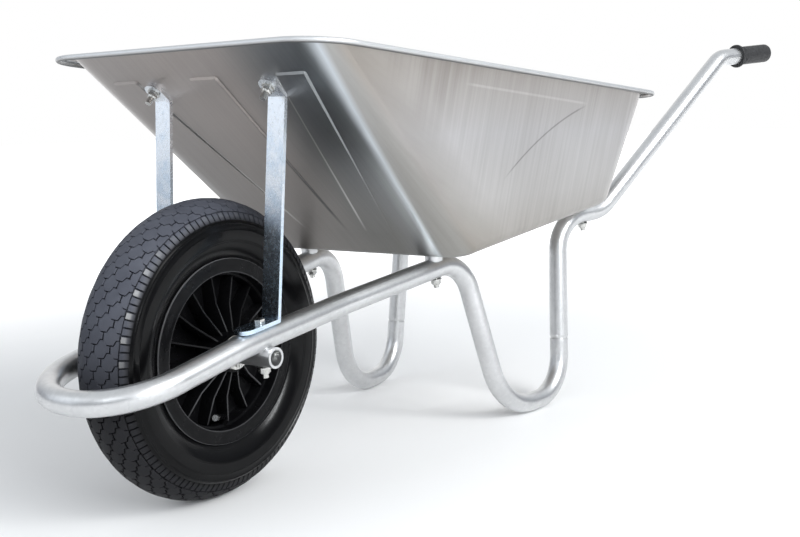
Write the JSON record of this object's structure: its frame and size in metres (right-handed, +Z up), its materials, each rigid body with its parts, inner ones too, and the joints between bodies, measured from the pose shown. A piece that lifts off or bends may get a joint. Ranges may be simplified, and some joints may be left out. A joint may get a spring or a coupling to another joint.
{
  "type": "wheelbarrow",
  "caption": "Single-wheel barrow with a deep tapered sheet-steel pan on a bent tube frame, plug-in handles, flat-bar stays and a pneumatic wheel.",
  "frame": {"origin": "centre of the outline on the ground, standing on the wheel and both leg bends", "axes": "+X forward towards the wheel, +Y to the barrow's left, +Z up"},
  "size_m": [1.402, 0.715, 0.5971],
  "materials": {
    "frame_tube": "hot-dip galvanised tube, satin",
    "handle_tube": "hot-dip galvanised tube, satin",
    "pan_sheet": "galvanised pressed sheet, satin with fine drawn streaks",
    "zinc_strap": "bright zinc-plated flat bar with bluish mottling",
    "zinc_fastener": "bright zinc-plated fasteners",
    "spacer_steel": "galvanised spacer",
    "axle_steel": "galvanised axle tube",
    "grip_rubber": "matt black rubber grip",
    "tyre_rubber": "black tyre rubber with block tread",
    "tube_rubber": "black inner tube",
    "wheel_plastic": "gloss black moulded plastic",
    "bush_plastic": "natural nylon bearing bush",
    "valve_rubber": "black rubber valve stem",
    "valve_metal": "bright metal valve cap"
  },
  "bodies": {
    "barrow": {"frame_tube": "frame_tube", "handle_left": "handle_tube", "handle_right": "handle_tube", "grip_left": "grip_rubber", "grip_right": "grip_rubber", "pan": "pan_sheet", "pan_bolts": "zinc_fastener", "pan_spacers": "spacer_steel", "pan_washers": "zinc_fastener", "pan_nuts": "zinc_fastener", "stay_left": "zinc_strap", "stay_right": "zinc_strap", "stay_top_bolts": "zinc_fastener", "stay_top_washers": "zinc_fastener", "stay_top_nuts": "zinc_fastener", "axle_bolts": "zinc_fastener", "axle_bolt_washers": "zinc_fastener", "axle_bolt_nuts": "zinc_fastener", "axle_tube": "axle_steel", "wheel_washers": "zinc_fastener", "split_pins": "zinc_fastener"},
    "wheel": {"tyre": "tyre_rubber", "inner_tube": "tube_rubber", "wheel_centre": "wheel_plastic", "hub_bushes": "bush_plastic", "valve_stem": "valve_rubber", "valve_cap": "valve_metal"}
  },
  "joints": [
    {"name": "wheel_spin", "type": "hinge", "parent": "barrow", "child": "wheel", "pos_m": [0.4638, 0, 0.19], "axis": [0, 1, 0], "continuous": true}
  ]
}
